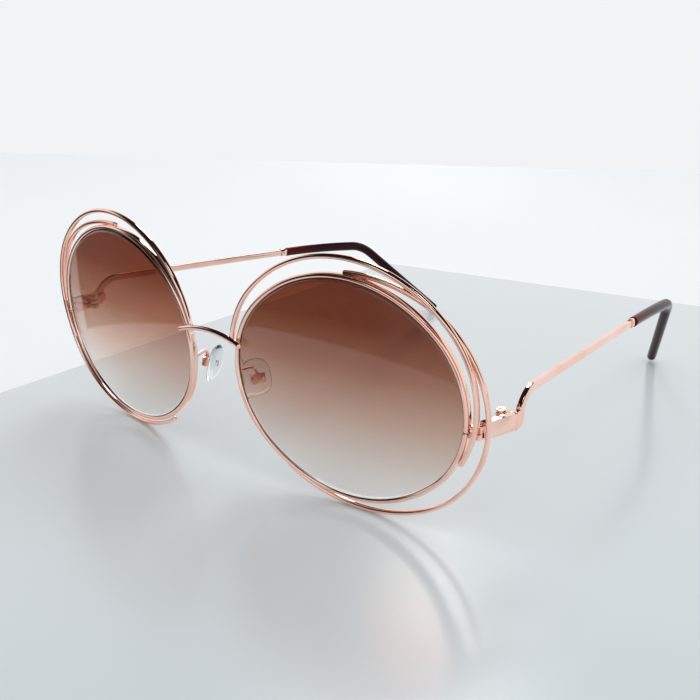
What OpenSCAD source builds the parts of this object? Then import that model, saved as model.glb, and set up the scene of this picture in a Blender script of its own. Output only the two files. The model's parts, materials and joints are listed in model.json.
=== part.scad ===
// Oversized round sunglasses in polished wire, with two halo wires round each lens.
// The front is drawn upright: X to the wearer's left, Y back along the temples, Z up,
// from the middle of the nose at the lenses' centre height. It is then leaned forward
// on to the table, where it stands on its lower halo wires and its temple tips.

/* [Lenses] */
// Width of each lens
lens_w = 58; // [55:0.5:62]
// Height of each lens
lens_h = 50.5; // [47:0.5:54]
// Radius of a lens's tighter arcs, as a share of its shorter half size
lens_round_share = 0.9; // [0.82:0.01:0.94]
// Gap between the two lenses
lens_gap = 15.5; // [14:0.5:18]
// Thickness of each lens
lens_t = 1.6; // [1.2:0.1:1.8]
// Radius of the ball that each lens is cut from
lens_ball_r = 170; // [140:5:300]
// Angle that each lens turns back from the nose
wrap_angle = 6; // [3:0.5:8]

/* [Rims] */
// Width of the rim wire, seen from the front
rim_w = 1.25; // [1.1:0.05:1.5]
// Depth of the rim wire, front to back
rim_d = 2; // [1.8:0.1:2.4]
// Depth of the groove that holds the lens
groove_d = 0.45; // [0.3:0.05:0.5]
// Width of the groove at its mouth
groove_w = 0.9; // [0.7:0.1:1]
// Play between the lens edge and the groove
lens_play = 0.04; // [0.02:0.01:0.08]

/* [Halo wires] */
// Width of a halo wire, seen from the front
halo_w = 1.15; // [1:0.05:1.3]
// Depth of a halo wire, front to back
halo_d = 1.4; // [1.3:0.05:1.6]
// Reach of the upper halo past the rim's mid-line at the nose
upper_nose_w = 1.1; // [0.9:0.1:1.5]
// Reach of the upper halo at the top
upper_top_h = 4.3; // [3.8:0.1:5]
// Reach of the upper halo at the temple
upper_temple_w = 2.3; // [1.8:0.1:2.8]
// Reach of the upper halo's circle below the rim, inside it where negative
upper_base_h = -0.6; // [-1:0.1:-0.2]
// Reach of the lower halo's circle past the rim at the nose, inside it where negative
lower_nose_w = -1.2; // [-1.6:0.1:-0.8]
// Reach of the lower halo at the top
lower_top_h = 0.8; // [0.6:0.1:1]
// Reach of the lower halo at the temple
lower_temple_w = 4.3; // [3.8:0.1:5]
// Reach of the lower halo at the bottom
lower_base_h = 2.5; // [2:0.1:3.5]
// Radius of the upper halo's tighter arcs, as a share of its shorter half size
upper_round_share = 0.9; // [0.86:0.01:0.94]
// Radius of the lower halo's tighter arcs, as a share of its shorter half size
lower_round_share = 0.96; // [0.92:0.01:0.97]

/* [Bridge] */
// Thickness of the bridge wire
bridge_d = 1.3; // [1.1:0.05:1.6]
// Rise of the bridge's arch at its middle
bridge_rise = 1.7; // [1:0.1:2.5]
// Height of the bridge's ends above the lenses' centre
bridge_z = 5.7; // [4.5:0.1:7]
// How far the bridge runs on past the rims' mid-lines
bridge_lap = 1.4; // [0.8:0.1:2]

/* [Nose pads] */
// Thickness of the pad arm's wire
arm_d = 0.9; // [0.7:0.05:1]
// How far the pad arm runs back before it turns down
arm_back = 2.8; // [2.4:0.1:3.4]
// Radius of the pad arm's bend
arm_bend_r = 1.7; // [1.4:0.1:2]
// Depth of the pad arm's root below the lenses' centre
arm_root_drop = 1.5; // [1.2:0.1:2]
// Height of a nose pad
pad_h = 9; // [8:0.5:12]
// Width of a nose pad
pad_w = 7.8; // [6:0.2:8]
// Thickness of a nose pad
pad_t = 1.7; // [1.4:0.1:2]
// Angle that a nose pad opens towards the face, seen from above
pad_splay_angle = 22; // [18:1:30]
// Angle that a nose pad opens downwards, seen from the front
pad_flare_angle = 14; // [10:1:18]

/* [Endpieces] */
// Height of the bar behind the halo wires
bar_h = 2.9; // [2.6:0.1:3.2]
// Thickness of that bar
bar_t = 1.4; // [1.2:0.1:1.6]
// Drop of the endpiece's middle below the lenses' centre
endpiece_drop = 2.6; // [2:0.1:3]
// Height of the endpiece block
block_h = 4.1; // [3.8:0.1:4.4]
// Thickness of the endpiece block
block_t = 1.5; // [1.4:0.1:1.7]
// Length of the endpiece block, front to back
block_l = 8.9; // [8.5:0.1:10]
// Angle that the endpiece block turns outwards on its way back
block_splay_angle = 14; // [11:0.5:17]
// Angle that the endpiece block falls on its way back
block_fall_angle = 4; // [2:0.5:6]

/* [Hinges] */
// Diameter of the hinge barrel
barrel_d = 2.4; // [2.3:0.1:2.6]
// Height of the whole barrel
barrel_h = 3.9; // [3.6:0.1:4.2]
// Diameter of the hinge screw
hinge_screw_d = 1.2; // [1:0.05:1.3]
// Running play between the hinge screw and the temple's knuckle
hinge_play = 0.05; // [0.03:0.01:0.08]
// Gap between knuckles, and between moving pieces and fixed ones
joint_gap = 0.1; // [0.08:0.01:0.15]

/* [Temples] */
// Height of the temple bar
temple_h = 1.9; // [1.7:0.1:2.1]
// Thickness of the temple bar
temple_t = 1.2; // [1.1:0.1:1.3]
// Length of the temple's straight bar
temple_l = 66.4; // [56:0.5:70]
// Angle that the temple turns inwards
temple_toe_angle = 5.6; // [4:0.2:7]
// Angle that the temple bar falls on its way back
temple_fall_angle = 6.2; // [5:0.2:7]
// Length of the temple's rise out of its head
rise_l = 1.9; // [1.5:0.1:2.4]
// Angle of that rise
rise_angle = 52; // [46:1:58]
// Radius of the bend above the rise
rise_bend_r = 7; // [6:0.5:8]
// Length of the collar between bar and tip
collar_l = 2.6; // [2:0.1:3.5]
// Wall of the collar round the bar
collar_wall = 0.3; // [0.2:0.05:0.4]

/* [Temple tips] */
// Height of a tip's section
tip_h = 3.1; // [2.8:0.1:3.4]
// Thickness of a tip's section
tip_t = 2.9; // [2.2:0.1:3]
// Length of the tip's gently bent front stretch
tip_front_l = 32; // [28:0.5:38]
// Angle that this front stretch bends through
tip_front_angle = 5; // [4:0.5:7]
// Radius of the bend behind the ear
ear_bend_r = 15; // [12:0.5:18]
// Angle of the bend behind the ear
ear_angle = 37.5; // [32:0.5:42]
// Length of the straight drop behind the ear
tip_drop_l = 38; // [32:0.5:40]
// Angle that the drop turns in towards the head
tip_roll_angle = 23; // [18:1:28]
// Height of the wire core inside the tip
core_h = 1.3; // [1:0.1:1.5]
// Thickness of that core
core_t = 0.9; // [0.8:0.05:1]
// Play between the core and the tip's bore
core_play = 0.05; // [0.03:0.01:0.08]
// How far short of the tip's end the core stops
core_stop = 6; // [4:0.5:10]

/* [Hidden] */
$fn = 64;

rose_gold = [0.86, 0.62, 0.52];
smoke_brown = [0.42, 0.27, 0.2, 0.75];
clear_silicone = [0.9, 0.92, 0.92, 0.5];
aubergine = [0.2, 0.08, 0.09];

left = 1;
right = -1;
// Overrun of every cut, and the depth that soldered pieces sink into each other
overrun = rim_w / 4;
solder = halo_w / 20;
// Every second stretch of a wire is this much thicker and laps over its neighbours
lap_share = 1.01;
lap_angle = 0.3;

// An oval is [centre x, centre y, half width, half height, round share], made of four arcs.
// The ends of its longer axis have the tighter arcs. Its side arcs have the radius side_r,
// its top and bottom arcs the radius flat_r, and they meet where their common normal stands
// at corner_angle.
function tight_r(oval) = min(oval[2], oval[3]) * oval[4];
function wide_r(oval) =
    let (long = max(oval[2], oval[3]), short = min(oval[2], oval[3]))
    (long * long + short * short - 2 * long * tight_r(oval)) / (2 * (short - tight_r(oval)));
function side_r(oval) = oval[2] < oval[3] ? wide_r(oval) : tight_r(oval);
function flat_r(oval) = oval[2] < oval[3] ? tight_r(oval) : wide_r(oval);
function corner_angle(oval) = atan2(abs(flat_r(oval) - oval[3]), abs(oval[2] - side_r(oval)));
function arc_is_side(quarter) = quarter % 2 == 0;
function arc_r(oval, quarter) = arc_is_side(quarter) ? side_r(oval) : flat_r(oval);
function arc_half(oval, quarter) =
    arc_is_side(quarter) ? corner_angle(oval) : 90 - corner_angle(oval);
function arc_centre(oval, quarter) = [
    oval[0] + (arc_is_side(quarter) ? (oval[2] - side_r(oval)) * cos(90 * quarter) : 0),
    oval[1] + (arc_is_side(quarter) ? 0 : (oval[3] - flat_r(oval)) * sin(90 * quarter))
];
// Point of an oval's side arc at the temple where the normal stands at an angle
function side_point(oval, angle) =
    arc_centre(oval, 0) + side_r(oval) * [cos(angle), sin(angle)];
function widened(oval, extra) = [oval[0], oval[1], oval[2] + extra, oval[3] + extra,
    (tight_r(oval) + extra) / (min(oval[2], oval[3]) + extra)];

lens_oval = [0, 0, lens_w / 2, lens_h / 2, lens_round_share];
rim_oval = widened(lens_oval, rim_w / 2 - groove_d);
function reached(nose, top, temple, base, share) = [
    (temple - nose) / 2, (top - base) / 2,
    rim_oval[2] + (temple + nose) / 2, rim_oval[3] + (top + base) / 2, share
];
upper_oval = reached(upper_nose_w, upper_top_h, upper_temple_w,
    upper_base_h, upper_round_share);
lower_oval = reached(lower_nose_w, lower_top_h, lower_temple_w,
    lower_base_h, lower_round_share);

lens_x = (lens_w + lens_gap) / 2;
// The upper halo lies in front of the lower one, so that they touch where they cross
halo_step = halo_d / 2 - solder / 2;
upper_from_angle = -30;
lower_from_angle = -124;
lower_to_angle = 93;
// The upper halo starts on the bridge's end
upper_to_angle = 180 - asin((bridge_z - upper_oval[1]) / side_r(upper_oval));

// The nose end of a rim's mid-line, at the bridge's height and at the pad arm's
function nose_x(z) =
    let (centre = arc_centre(rim_oval, 2), r = side_r(rim_oval))
    centre[0] - sqrt(r * r - (z - centre[1]) * (z - centre[1]));
bridge_half = lens_x + nose_x(bridge_z) * cos(wrap_angle) + bridge_lap;
bridge_r = (bridge_half * bridge_half + bridge_rise * bridge_rise) / (2 * bridge_rise);
bridge_angle = asin(bridge_half / bridge_r);
bridge_y = nose_x(bridge_z) * sin(wrap_angle) - rim_d / 2 - bridge_d / 2 + 3 * solder;

// The rim is slit at the bar, where the closing block and its screw pull it shut
slit_gap = rim_w / 6;
slit_z = -endpiece_drop;
slit_angle = asin(slit_z / side_r(rim_oval));
slit_half = 90 / PI * slit_gap / side_r(rim_oval);

// Bar and block: the bar lies behind both halo wires, in the lens's own plane
bar_front = halo_step + halo_d / 2 - solder;
bar_root = side_point(rim_oval, slit_angle)[0] + rim_w / 4;
bar_reach = lower_oval[0] + lower_oval[2] - halo_w;
lug_w = 2.1 * rim_w;
lug_back = bar_front + bar_t;
lug_front = halo_d / 2 - halo_step + solder;
lug_h = (bar_h - slit_gap) / 2;
lug_mid = (lug_front + lug_back) / 2;
rim_screw_d = 0.7 * rim_w;
rim_screw_head_d = 1.2 * rim_w;
rim_screw_head_h = 0.3 * rim_w;
rim_screw_x = bar_root + lug_w * 0.55;

// The bar's outer end in the front's frame, where the block turns back
block_x = lens_x + bar_reach * cos(wrap_angle) - bar_front * sin(wrap_angle);
block_y = bar_reach * sin(wrap_angle) + bar_front * cos(wrap_angle);
split_x = block_x + block_l * sin(block_splay_angle);
split_y = block_y + block_l * cos(block_splay_angle) * cos(block_fall_angle);
split_z = -endpiece_drop - block_l * sin(block_fall_angle);

// Hinge axis: inside the block's inner face, just ahead of the split
barrel_r = barrel_d / 2;
flange_t = 0.15 * barrel_d;
hinge_x = split_x - block_t - flange_t - barrel_r - 1.5 * joint_gap;
hinge_y = split_y - 0.35 * barrel_d;
hinge_z = split_z + 0.05 * barrel_h;
knuckle_h = (barrel_h - 2 * joint_gap) / 3;
leaf_t = 0.3 * barrel_d;
leaf_l = 1.3 * barrel_d;
leaf_h = 0.55 * barrel_h;
screw_head_h = 0.12 * barrel_h;
screw_head_d = 0.85 * barrel_d;

// Temple: its head takes up the block's height, and the bar rises out of it
temple_x = split_x;
temple_y = split_y + joint_gap + temple_t * sin(temple_toe_angle);
head_l = 0.85 * block_h;
head_r = 0.3 * block_h;
rise_start = [0.75 * temple_h, split_z + 0.12 * block_h];
rise_path = [[rise_l, 0], [rise_bend_r, rise_angle + temple_fall_angle], [temple_l, 0]];
tip_path = [
    [180 / PI * tip_front_l / tip_front_angle, tip_front_angle],
    [ear_bend_r, ear_angle],
    [tip_drop_l, 0]
];
core_path = [tip_path[0], tip_path[1], [tip_drop_l - core_stop, 0]];
collar_h = temple_h + 2 * collar_wall;
collar_t = temple_t + 2 * collar_wall;

// Nose pad: its place and its two turns
arm_root_x = lens_x + nose_x(-arm_root_drop) * cos(wrap_angle);
arm_root_y = nose_x(-arm_root_drop) * sin(wrap_angle) + rim_d / 2 - 2 * solder;
arm_bend_angle = 74;
arm_down = 0.9 * arm_d;
arm_turn_angle = 14;
arm_path = [[arm_back, 0], [arm_bend_r, arm_bend_angle], [arm_down, 0]];
box_w = 3.3 * arm_d;
box_h = 2.6 * arm_d;
box_t = 2.4 * arm_d;
box_wall = 0.3 * arm_d;
pad_screw_d = 0.75 * arm_d;
pad_screw_play = hinge_play;
pad_slot = 1.1 * arm_d;
tongue_t = pad_slot - 2 * joint_gap;
tongue_r = box_t / 2 - box_wall - joint_gap;
pad_off = box_t / 2 + pad_t / 2 + 2 * joint_gap;

// Where a path of straights [length, 0] and bends [radius, angle] has led: [x, y, fall]
function path_end(path, i = 0, x = 0, y = 0, fall = 0) =
    i == len(path) ? [x, y, fall]
    : path[i][1] == 0
    ? path_end(path, i + 1, x + path[i][0] * cos(fall), y - path[i][0] * sin(fall), fall)
    : let (r = path[i][0], next = fall + path[i][1])
        path_end(path, i + 1, x + r * (sin(next) - sin(fall)),
            y - r * (cos(fall) - cos(next)), next);
function turned(p, angle) =
    [p[0] * cos(angle) - p[1] * sin(angle), p[0] * sin(angle) + p[1] * cos(angle)];

arm_end = path_end(arm_path);
pad_x = arm_root_x + arm_end[0] * sin(arm_turn_angle);
pad_y = arm_root_y + arm_end[0] * cos(arm_turn_angle);
pad_z = arm_end[1] - arm_root_drop - box_h / 2 + 2 * solder;

// The bar's end in the temple's own plane, then the middle of the tip's end
bar_end = rise_start + turned(path_end(rise_path), rise_angle);
tip_end = path_end(tip_path);
foot = bar_end + turned([tip_end[0], tip_end[1] * cos(tip_roll_angle)], -temple_fall_angle);

foot_y = temple_y + foot[0] * cos(temple_toe_angle)
    + tip_end[1] * sin(tip_roll_angle) * sin(temple_toe_angle);

// Both lower halo wires and both tips touch the table, which gives the lean
halo_foot_y = lower_oval[0] * sin(wrap_angle) + halo_step * cos(wrap_angle);
halo_foot_z = lower_oval[1] - lower_oval[3] - halo_w / 2;
stance = [foot_y - halo_foot_y, halo_foot_z - foot[1]];
first_lean = atan2(stance[1], stance[0]);
// How far the tip's slanted end reaches past its middle, back (0) or down (1)
foot_long = turned([sin(tip_end[2]), cos(tip_end[2]) * cos(tip_roll_angle)],
    first_lean - temple_fall_angle);
foot_short = turned([0, -sin(tip_roll_angle)], first_lean - temple_fall_angle);
function foot_reach(i) = (tip_h - tip_t) / 2 * abs(foot_long[i])
    + tip_t / 2 * norm([foot_long[i], foot_short[i]]);

lean = first_lean + asin(foot_reach(1) / norm(stance));
ride_z = -halo_foot_z * cos(lean) - halo_foot_y * sin(lean);

// The leaned frame reaches from the bridge's arch to the tips' ends
front_y = bridge_y * cos(lean) - (bridge_z + bridge_rise) * sin(lean) - bridge_d / 2;
back_y = foot_y * cos(lean) - foot[1] * sin(lean) + foot_reach(0);
centre_y = (front_y + back_y) / 2;

// Stands the upright front on the table
module set_down() {
    translate([0, -centre_y, ride_z]) rotate([lean, 0, 0]) children();
}

// The right side is the left side's mirror image
module on_side(side) {
    set_down() mirror([side == right ? 1 : 0, 0, 0]) children();
}

// A lens's own plane: x outwards from the nose, y up and z forwards
module lens_plane(side) {
    on_side(side) translate([lens_x, 0, 0]) rotate([90, 0, wrap_angle]) children();
}

// A temple's own plane: x back, y up and z outwards, with its top face at z 0
module temple_plane(side) {
    on_side(side) translate([temple_x, temple_y, 0]) rotate([90, 0, 90 + temple_toe_angle]) children();
}

// The section given as a child, carried round an oval from one normal angle to another
module round_oval(oval, from, to) {
    for (quarter = [-3:4]) {
        lap = arc_is_side(quarter) ? lap_angle : 0;
        start = max(90 * quarter - arc_half(oval, quarter) - lap, from);
        stop = min(90 * quarter + arc_half(oval, quarter) + lap, to);
        if (stop - start > 2 * lap_angle) {
            translate(arc_centre(oval, quarter)) rotate(start)
                rotate_extrude(angle = stop - start) translate([arc_r(oval, quarter), 0])
                    scale(arc_is_side(quarter) ? lap_share : 1) children();
        }
    }
}

// The section given as a child, carried along straights and bends from the origin along +x.
// Every second step, always a bend, is the thicker one that laps over its neighbours.
module along(path, i = 0) {
    if (i < len(path)) {
        size = path[i][0];
        angle = path[i][1];
        lap = i % 2 == 1 ? lap_angle : 0;
        if (angle == 0) {
            rotate([90, 0, 90]) linear_extrude(size) children();
            translate([size, 0, 0]) along(path, i + 1) children();
        } else {
            translate([0, -size, 0]) rotate(90 - angle - lap)
                rotate_extrude(angle = angle + 2 * lap) translate([size, 0])
                    scale(i % 2 == 1 ? lap_share : 1) children();
            translate([0, -size, 0]) rotate(-angle) translate([0, size, 0])
                along(path, i + 1) children();
        }
    }
}

// A flat oval bar's section, round at both ends of its longer side
module bar_section(w, d) {
    short = min(w, d);
    ends = [max(w - d, 0) / 2, max(d - w, 0) / 2];
    translate(ends) circle(d = short);
    translate(-ends) circle(d = short);
    square([max(w - d, short * (w > d ? 0 : 1)), max(d - w, short * (w > d ? 1 : 0))],
        center = true);
}

// A cylinder on z between two heights
module post(d, from, to) {
    translate([0, 0, from]) cylinder(d = d, h = to - from);
}

// A plate with an oval's outline, as a broad ring round a many-sided core
module oval_plate(oval, h) {
    ring = widened(oval, -groove_w);
    whole_oval(ring) square([2 * groove_w, h], center = true);
    linear_extrude(h, center = true) polygon([
        for (quarter = [0:3], step = [0:7])
            let (angle = 90 * quarter + arc_half(ring, quarter) * (step / 4 - 1))
            arc_centre(ring, quarter) + arc_r(ring, quarter) * [cos(angle), sin(angle)]
    ]);
}

// The section given as a child, carried all the way round an oval
module whole_oval(oval) {
    round_oval(oval, -corner_angle(oval) - lap_angle, 360 - corner_angle(oval)) children();
}

module rim(side) {
    color(rose_gold) lens_plane(side)
        round_oval(rim_oval, slit_angle + slit_half, 360 + slit_angle - slit_half)
            difference() {
                bar_section(rim_w, rim_d);
                polygon([
                    [-rim_w / 2 - overrun, groove_w / 2 * (1 + overrun / groove_d)],
                    [-rim_w / 2 + groove_d, 0],
                    [-rim_w / 2 - overrun, -groove_w / 2 * (1 + overrun / groove_d)]
                ]);
            }
}

// A curved lens cut from a ball, with a bevelled edge in the rim's groove
module lens(side) {
    edge = widened(lens_oval, -groove_d - lens_play);
    sag = edge[2] * edge[3] / (2 * lens_ball_r);
    color(smoke_brown) lens_plane(side) union() {
        difference() {
            intersection() {
                oval_plate(edge, 2 * (sag + lens_t));
                translate([0, 0, sag + lens_t / 2 - lens_ball_r]) rotate([0, 90, 0])
                    sphere(r = lens_ball_r, $fn = 256);
            }
            translate([0, 0, sag + lens_t / 2 - lens_ball_r]) rotate([0, 90, 0])
                sphere(r = lens_ball_r - lens_t, $fn = 256);
        }
        whole_oval(edge) polygon([
            [-groove_w / 4, groove_w / 2], [0, groove_w / 2], [groove_d, 0],
            [0, -groove_w / 2], [-groove_w / 4, -groove_w / 2]
        ]);
    }
}

module upper_halo(side) {
    color(rose_gold) lens_plane(side) translate([0, 0, halo_step])
        round_oval(upper_oval, upper_from_angle, upper_to_angle) bar_section(halo_w, halo_d);
}

module lower_halo(side) {
    color(rose_gold) lens_plane(side) translate([0, 0, -halo_step])
        round_oval(lower_oval, lower_from_angle, lower_to_angle) bar_section(halo_w, halo_d);
}

// One arched wire that laps over the front of both rims, with round ends
module bridge() {
    color(rose_gold) set_down()
        translate([0, bridge_y, bridge_z + bridge_rise - bridge_r]) rotate([90, 0, 0]) {
            rotate(90 - bridge_angle) rotate_extrude(angle = 2 * bridge_angle)
                translate([bridge_r, 0]) circle(d = bridge_d);
            for (side = [left, right]) {
                rotate(90 + side * bridge_angle) translate([bridge_r, 0, 0])
                    sphere(d = 1.1 * bridge_d);
            }
        }
}

module arm_plane(side) {
    on_side(side) translate([arm_root_x, arm_root_y, -arm_root_drop])
        rotate([90, 0, 90 - arm_turn_angle]) children();
}

module pad_arm(side) {
    color(rose_gold) arm_plane(side) along(arm_path) circle(d = arm_d);
}

// The pad's own plane: x along its screw, y up and z towards the nose
module pad_plane(side) {
    on_side(side) translate([pad_x, pad_y, pad_z])
        rotate([0, 0, -pad_splay_angle]) rotate([0, -pad_flare_angle, 0])
            rotate([90, 0, -90]) children();
}

// A box on the arm's end, open towards the nose: the pad's tongue goes between its cheeks
module pad_box(side) {
    color(rose_gold) pad_plane(side) difference() {
        cube([box_w, box_h, box_t], center = true);
        translate([-pad_slot / 2, -box_h / 2 - overrun, -box_t / 2 + box_wall])
            cube([pad_slot, box_h - box_wall + overrun, box_t]);
        rotate([0, 90, 0]) post(pad_screw_d, -box_w, box_w);
    }
}

module pad_screw(side) {
    color(rose_gold) pad_plane(side) rotate([0, 90, 0]) {
        post(pad_screw_d, -box_w / 2, box_w / 2);
        post(1.6 * pad_screw_d, box_w / 2, box_w / 2 + pad_screw_d / 2);
    }
}

// An oval silicone pad with a drilled tongue at its back
module nose_pad(side) {
    color(clear_silicone) pad_plane(side) difference() {
        union() {
            translate([0, 0, pad_off]) intersection() {
                linear_extrude(pad_t, center = true) bar_section(pad_w, pad_h);
                translate([0, 0, pad_t / 2 - pad_h * 1.6]) sphere(r = pad_h * 1.6, $fn = 96);
            }
            translate([-tongue_t / 2, -tongue_r, 0])
                cube([tongue_t, 2 * tongue_r, pad_off - pad_t / 4]);
            rotate([0, 90, 0]) post(2 * tongue_r, -tongue_t / 2, tongue_t / 2);
        }
        rotate([0, 90, 0]) post(pad_screw_d + 2 * pad_screw_play, -pad_w, pad_w);
    }
}

// The bar behind the halo wires, its lug on the rim and the block that turns back
module endpiece(side) {
    color(rose_gold) difference() {
        union() {
            lens_plane(side) {
                translate([bar_root, -endpiece_drop - bar_h / 2, -lug_back])
                    cube([bar_reach - bar_root, bar_h, bar_t]);
                translate([bar_root, slit_z + slit_gap / 2, -lug_back])
                    cube([lug_w, lug_h, lug_back - lug_front]);
            }
            on_side(side) translate([block_x, block_y, -endpiece_drop])
                rotate([-block_fall_angle, 0, -block_splay_angle]) block();
        }
        on_side(side) translate([block_x - block_l, split_y, -2 * block_h])
            cube([2 * block_l, block_l, 4 * block_h]);
        lens_plane(side) {
            translate([bar_root - overrun, slit_z - bar_h, -lug_back - overrun])
                cube([lug_w + slit_gap + overrun, bar_h + slit_gap / 2, lug_back + overrun]);
            screw_axis() post(rim_screw_d, -overrun, 0.75 * lug_h);
        }
    }
}

// The rim screw's axis, upwards from the middle of the slit
module screw_axis() {
    translate([rim_screw_x, slit_z, -lug_mid]) rotate([-90, 0, 0]) children();
}

// A block with a chamfered lower outer edge, running back from its outer front edge
module block() {
    chamfer = block_t / 3;
    rotate([90, 0, 180]) linear_extrude(block_l + block_t)
        polygon([
            [0, block_h / 2], [block_t, block_h / 2], [block_t, -block_h / 2],
            [chamfer, -block_h / 2], [0, chamfer - block_h / 2]
        ]);
}

module closing_block(side) {
    color(rose_gold) lens_plane(side) difference() {
        translate([bar_root, slit_z - slit_gap / 2 - lug_h, -lug_back])
            cube([lug_w, lug_h, lug_back - lug_front]);
        screw_axis() {
            post(rim_screw_d, -bar_h, 0);
            post(rim_screw_head_d, -bar_h, rim_screw_head_h - bar_h / 2);
        }
    }
}

module rim_screw(side) {
    color(rose_gold) lens_plane(side) screw_axis() {
        post(rim_screw_d, -bar_h / 2, 0.75 * lug_h);
        post(rim_screw_head_d, -bar_h / 2, rim_screw_head_h - bar_h / 2);
    }
}

module hinge_axis(side) {
    on_side(side) translate([hinge_x, hinge_y, hinge_z]) children();
}

// Upper and lower knuckles on a flange along the block's inner face
module hinge_front(side) {
    web = split_x - block_t - hinge_x;
    color(rose_gold) hinge_axis(side) difference() {
        union() {
            for (half = [0, 1]) {
                mirror([0, 0, half]) {
                    post(barrel_d, knuckle_h / 2 + joint_gap, barrel_h / 2);
                    translate([0, -barrel_r, knuckle_h / 2 + joint_gap])
                        cube([web, barrel_d - 2 * joint_gap, knuckle_h]);
                }
            }
            translate([web - flange_t, -barrel_d, -barrel_h / 2])
                cube([flange_t + solder, barrel_d + barrel_r - 2 * joint_gap, barrel_h]);
        }
        post(hinge_screw_d, -barrel_h, barrel_h);
    }
}

// The temple's knuckle and its leaf along the temple's inner face
module hinge_leaf(side) {
    inner = temple_x - hinge_x - temple_t;
    color(rose_gold) hinge_axis(side) difference() {
        union() {
            post(barrel_d, -knuckle_h / 2, knuckle_h / 2);
            translate([0, 0, -knuckle_h / 2])
                cube([barrel_r - joint_gap, barrel_d, knuckle_h]);
            translate([0, barrel_r + 2 * joint_gap, -leaf_h / 2])
                rotate([0, 0, temple_toe_angle])
                    cube([inner + 2 * solder, leaf_l, leaf_h]);
        }
        post(hinge_screw_d + 2 * hinge_play, -barrel_h, barrel_h);
        translate([-barrel_d, barrel_d, -barrel_h / 2]) rotate([0, 0, temple_toe_angle])
            cube([barrel_d + inner - leaf_t, leaf_l, barrel_h]);
    }
}

module hinge_screw(side) {
    color(rose_gold) hinge_axis(side) difference() {
        union() {
            post(hinge_screw_d, -barrel_h / 2, barrel_h / 2);
            post(screw_head_d, barrel_h / 2, barrel_h / 2 + screw_head_h);
        }
        translate([-screw_head_d, -screw_head_d / 10, barrel_h / 2 + screw_head_h / 2])
            cube([2 * screw_head_d, screw_head_d / 5, screw_head_h]);
    }
}

// Head, rise and bar in one strip, with the wire core that the tip slides on to
module temple(side) {
    color(rose_gold) temple_plane(side) {
        translate([0, 0, -temple_t]) linear_extrude(temple_t) head_outline();
        translate([rise_start[0], rise_start[1], -temple_t / 2]) rotate(rise_angle)
            along(rise_path) square([temple_h, temple_t], center = true);
        at_bar_end() {
            along(core_path) square([core_h, core_t], center = true);
            rotate([0, 90, 0]) post(0.8 * core_t, -core_h, core_h);
        }
    }
}

// The head fills the block's height, with its lower back corner rounded off
module head_outline() {
    low = split_z - block_h / 2;
    high = split_z + block_h / 2;
    difference() {
        translate([0, low]) square([head_l, block_h]);
        translate([head_l - head_r, low]) square([head_r + overrun, head_r]);
        polygon([
            [rise_start[0], high + overrun], [head_l + overrun, high + overrun],
            [head_l + overrun, high - head_r], [rise_start[0] + temple_h, high]
        ]);
    }
    translate([head_l - head_r, low + head_r]) circle(r = head_r);
}

// The end of the bar in the temple's plane, rolled so that paths drop inwards
module at_bar_end() {
    translate([bar_end[0], bar_end[1], -temple_t / 2]) rotate(-temple_fall_angle)
        rotate([tip_roll_angle, 0, 0]) children();
}

module collar(side) {
    color(rose_gold) temple_plane(side)
        translate([bar_end[0], bar_end[1], -temple_t / 2]) rotate(-temple_fall_angle)
            difference() {
                translate([-collar_l, 0, 0]) rotate([90, 0, 90])
                    linear_extrude(collar_l) bar_section(collar_h, collar_t);
                translate([-collar_l - overrun, -temple_h / 2, -temple_t / 2])
                    cube([collar_l + 2 * overrun, temple_h, temple_t]);
            }
}

module temple_tip(side) {
    color(aubergine) temple_plane(side) at_bar_end() difference() {
        along(tip_path) bar_section(tip_h, tip_t);
        translate([-overrun, 0, 0]) along([[overrun, 0]])
            square([core_h + 2 * core_play, core_t + 2 * core_play], center = true);
        along([core_path[0], core_path[1], [core_path[2][0] + core_play, 0]])
            square([core_h + 2 * core_play, core_t + 2 * core_play], center = true);
    }
}

module rim_left() { rim(left); }
module rim_right() { rim(right); }
module lens_left() { lens(left); }
module lens_right() { lens(right); }
module upper_halo_left() { upper_halo(left); }
module upper_halo_right() { upper_halo(right); }
module lower_halo_left() { lower_halo(left); }
module lower_halo_right() { lower_halo(right); }
module pad_arm_left() { pad_arm(left); }
module pad_arm_right() { pad_arm(right); }
module pad_box_left() { pad_box(left); }
module pad_box_right() { pad_box(right); }
module nose_pad_left() { nose_pad(left); }
module nose_pad_right() { nose_pad(right); }
module pad_screw_left() { pad_screw(left); }
module pad_screw_right() { pad_screw(right); }
module endpiece_left() { endpiece(left); }
module endpiece_right() { endpiece(right); }
module closing_block_left() { closing_block(left); }
module closing_block_right() { closing_block(right); }
module rim_screw_left() { rim_screw(left); }
module rim_screw_right() { rim_screw(right); }
module hinge_front_left() { hinge_front(left); }
module hinge_front_right() { hinge_front(right); }
module hinge_leaf_left() { hinge_leaf(left); }
module hinge_leaf_right() { hinge_leaf(right); }
module hinge_screw_left() { hinge_screw(left); }
module hinge_screw_right() { hinge_screw(right); }
module temple_left() { temple(left); }
module temple_right() { temple(right); }
module collar_left() { collar(left); }
module collar_right() { collar(right); }
module temple_tip_left() { temple_tip(left); }
module temple_tip_right() { temple_tip(right); }

rim_left();
rim_right();
lens_left();
lens_right();
upper_halo_left();
upper_halo_right();
lower_halo_left();
lower_halo_right();
bridge();
pad_arm_left();
pad_arm_right();
pad_box_left();
pad_box_right();
nose_pad_left();
nose_pad_right();
pad_screw_left();
pad_screw_right();
endpiece_left();
endpiece_right();
closing_block_left();
closing_block_right();
rim_screw_left();
rim_screw_right();
hinge_front_left();
hinge_front_right();
hinge_leaf_left();
hinge_leaf_right();
hinge_screw_left();
hinge_screw_right();
temple_left();
temple_right();
collar_left();
collar_right();
temple_tip_left();
temple_tip_right();
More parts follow.
